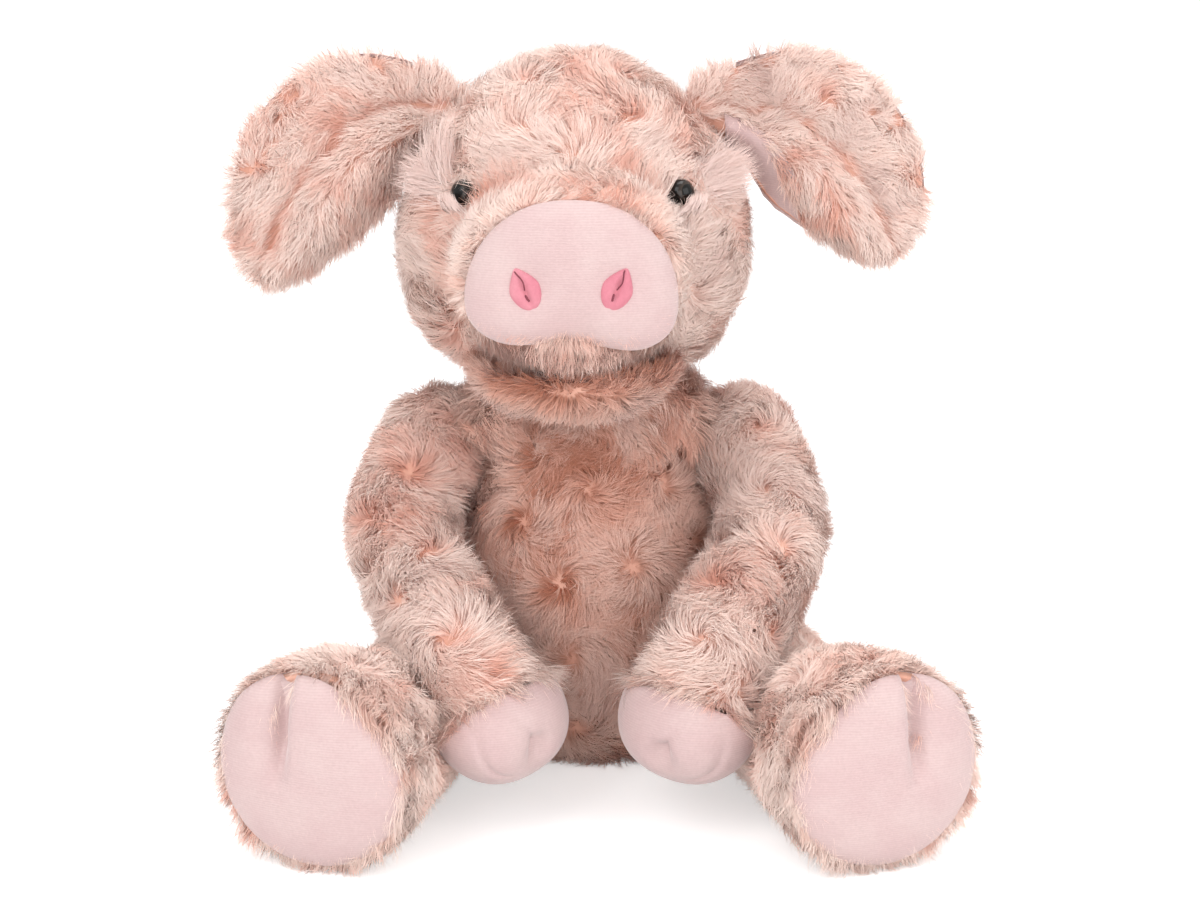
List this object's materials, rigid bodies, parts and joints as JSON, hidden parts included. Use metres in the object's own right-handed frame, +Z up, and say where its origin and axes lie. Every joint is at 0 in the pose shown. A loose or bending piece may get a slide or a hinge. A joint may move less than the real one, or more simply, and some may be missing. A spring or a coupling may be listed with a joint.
{
  "type": "plush pig",
  "caption": "Seated stuffed toy pig in curly fur, with a velour snout, hanging ears, hoof caps and soles, on seams that swing.",
  "frame": {"origin": "middle of the flat seat under the torso, on the surface it sits on", "axes": "+Z up, -Y the way the pig faces, +X towards the pig's own left"},
  "size_m": [0.2943, 0.2745, 0.296],
  "materials": {
    "fur": "long curly pile, mottled cream, peach and taupe",
    "velour": "short soft nap",
    "nostril_pink": "short soft nap",
    "mouth_lining": "matte",
    "long_pile": "long straight pile",
    "eye_gloss": "glossy black with a silver grey iris",
    "washer_plastic": "plain moulded",
    "filling": "loose fibre",
    "bead_bag": "plain weave"
  },
  "bodies": {
    "torso": {"torso_cover": "fur", "torso_stuffing": "filling", "seat_bead_bag": "bead_bag"},
    "neck": {"neck_wad": "filling"},
    "head": {"head_cover": "fur", "head_stuffing": "filling", "muzzle": "fur", "snout": "velour", "nostril_l": "nostril_pink", "nostril_r": "nostril_pink", "jaw": "fur", "mouth_lining": "mouth_lining", "eye_l": "eye_gloss", "eye_r": "eye_gloss", "eye_washer_l": "washer_plastic", "eye_washer_r": "washer_plastic", "brow_tuft_l": "long_pile", "brow_tuft_r": "long_pile"},
    "ear_left": {"ear_l": "fur", "ear_lining_l": "velour"},
    "ear_right": {"ear_r": "fur", "ear_lining_r": "velour"},
    "arm_left": {"arm_cover_l": "fur", "arm_stuffing_l": "filling", "hand_l": "velour"},
    "arm_right": {"arm_cover_r": "fur", "arm_stuffing_r": "filling", "hand_r": "velour"},
    "leg_left": {"leg_cover_l": "fur", "leg_stuffing_l": "filling", "sole_l": "velour"},
    "leg_right": {"leg_cover_r": "fur", "leg_stuffing_r": "filling", "sole_r": "velour"},
    "tail": {"tail": "velour"}
  },
  "joints": [
    {"name": "neck_turn", "type": "hinge", "parent": "torso", "child": "neck", "pos_m": [-0.005, -0.0098, 0.13], "axis": [0, 0, 1], "range_deg": [-25, 25]},
    {"name": "head_nod", "type": "hinge", "parent": "neck", "child": "head", "pos_m": [-0.005, -0.0098, 0.13], "axis": [-1, 0, 0], "range_deg": [-12, 10]},
    {"name": "ear_lift_l", "type": "hinge", "parent": "head", "child": "ear_left", "pos_m": [0.0505, -0.012, 0.271], "axis": [0, -1, 0], "range_deg": [0, 40], "stiffness_Nm_per_rad": 0.01},
    {"name": "ear_lift_r", "type": "hinge", "parent": "head", "child": "ear_right", "pos_m": [-0.0695, -0.012, 0.271], "axis": [0, 1, 0], "range_deg": [0, 40], "stiffness_Nm_per_rad": 0.01},
    {"name": "shoulder_l", "type": "hinge", "parent": "torso", "child": "arm_left", "pos_m": [0.06066, -0.01047, 0.128], "axis": [-1, 0, 0], "range_deg": [0, 40]},
    {"name": "shoulder_r", "type": "hinge", "parent": "torso", "child": "arm_right", "pos_m": [-0.06866, -0.01047, 0.128], "axis": [-1, 0, 0], "range_deg": [0, 40]},
    {"name": "hip_l", "type": "hinge", "parent": "torso", "child": "leg_left", "pos_m": [0.058, -0.02, 0.0335], "axis": [0, 0, 1], "range_deg": [0, 30]},
    {"name": "hip_r", "type": "hinge", "parent": "torso", "child": "leg_right", "pos_m": [-0.058, -0.02, 0.0335], "axis": [0, 0, -1], "range_deg": [0, 30]},
    {"name": "tail_swing", "type": "hinge", "parent": "torso", "child": "tail", "pos_m": [-0.00156, 0.0672, 0.05], "axis": [1, 0, 0], "range_deg": [-15, 15], "stiffness_Nm_per_rad": 0.01}
  ]
}
